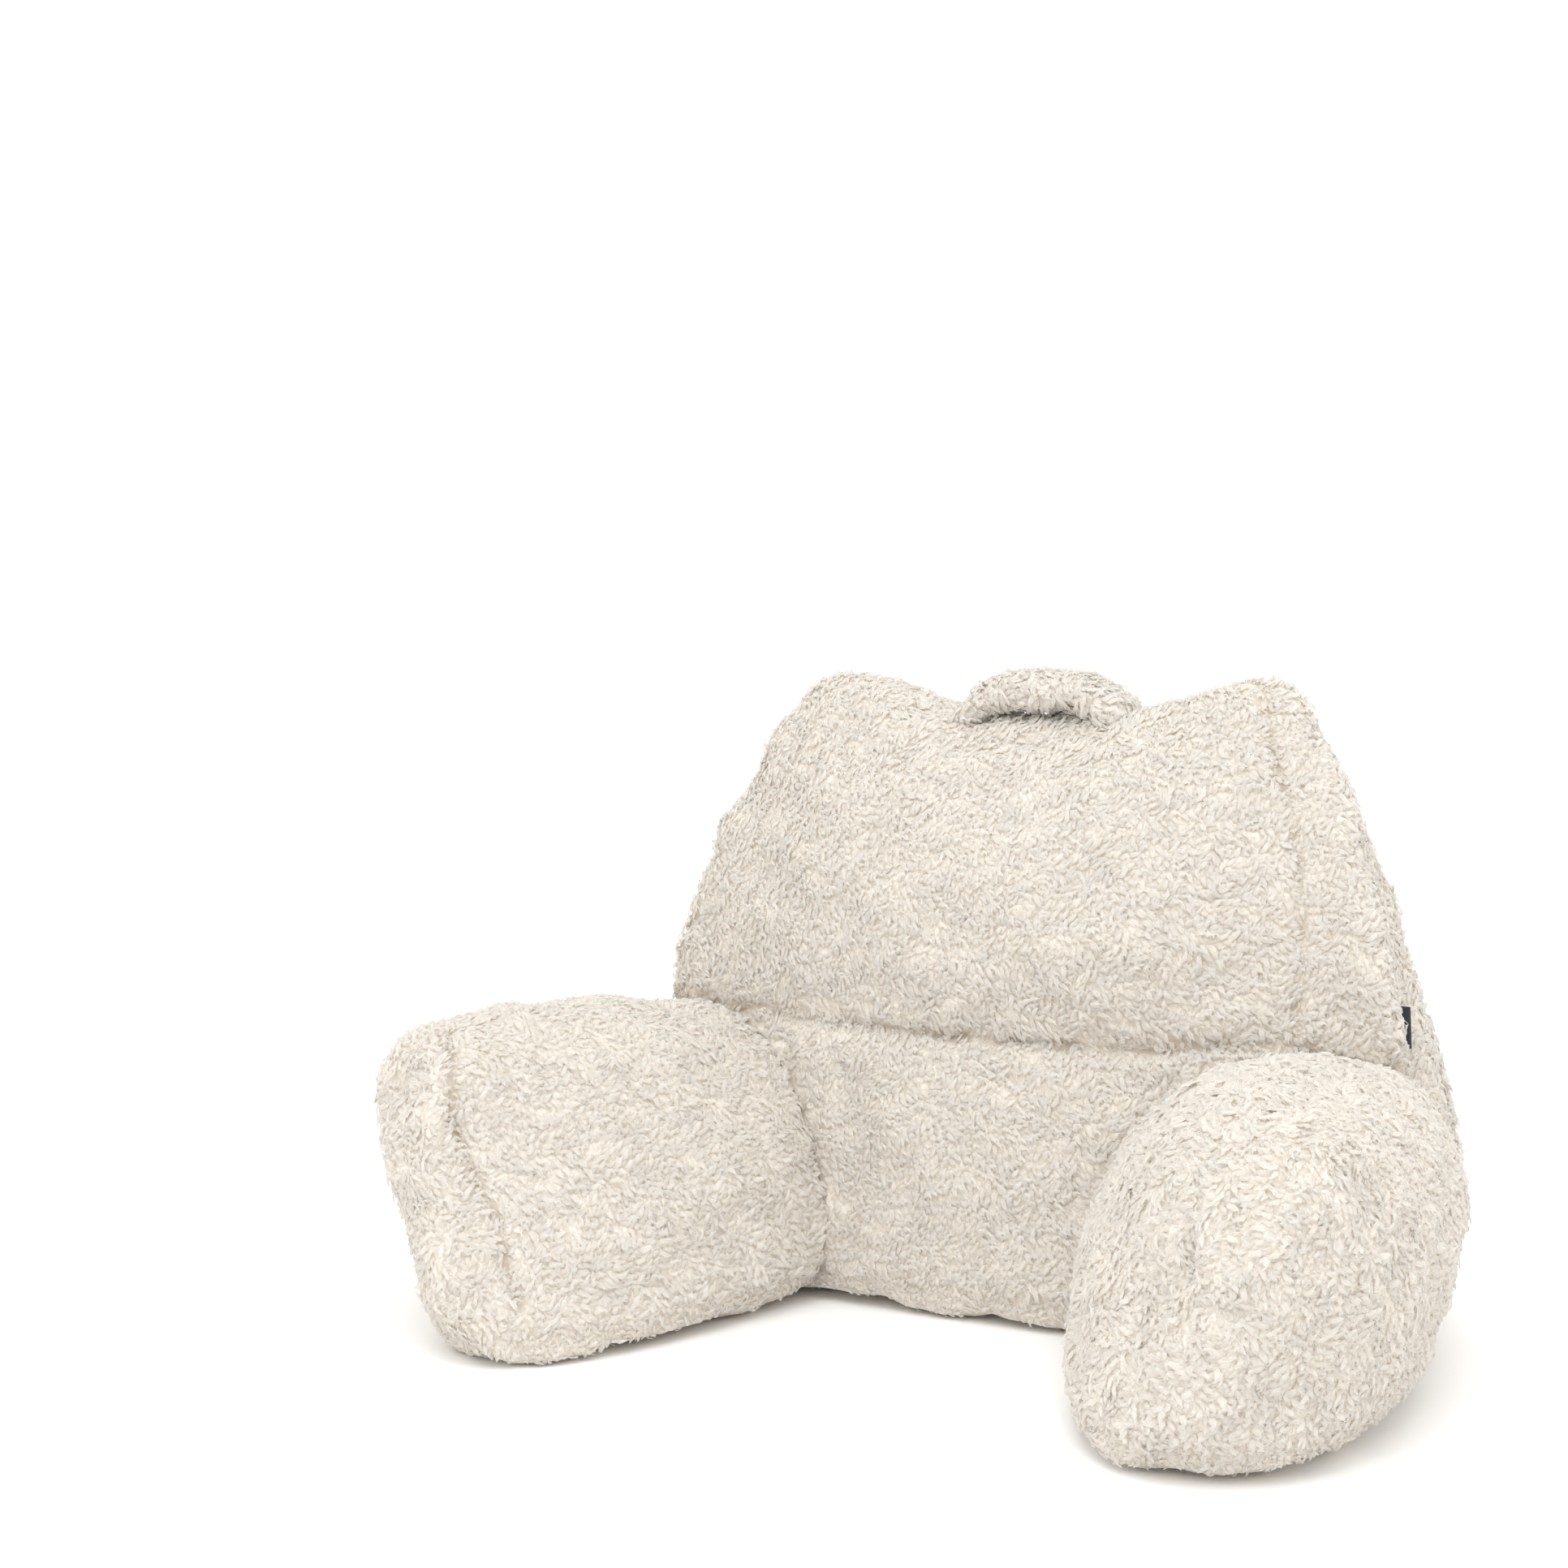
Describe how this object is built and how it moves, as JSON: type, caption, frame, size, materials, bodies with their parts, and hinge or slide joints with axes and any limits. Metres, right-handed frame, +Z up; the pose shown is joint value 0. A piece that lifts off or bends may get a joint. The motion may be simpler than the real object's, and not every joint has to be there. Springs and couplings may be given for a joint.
{
  "type": "reading pillow with arms",
  "caption": "Filled backrest pillow in long curly pile, with splayed padded arms, pointed top corners and a carry handle strap.",
  "frame": {"origin": "bottom centre of the whole pillow's box, on the surface it rests on", "axes": "+X to the sitter's left arm side as seen from the front (the viewer's right), -Y to the front where the arms reach, +Z up"},
  "size_m": [0.7925, 0.552, 0.4689],
  "materials": {
    "fleece": "cream fleece with a long curly pile",
    "tag_cloth": "plain dark woven tape"
  },
  "bodies": {
    "root": {"back_cushion": "fleece", "arm_left": "fleece", "arm_right": "fleece", "handle": "fleece", "side_tag": "tag_cloth"}
  },
  "joints": []
}
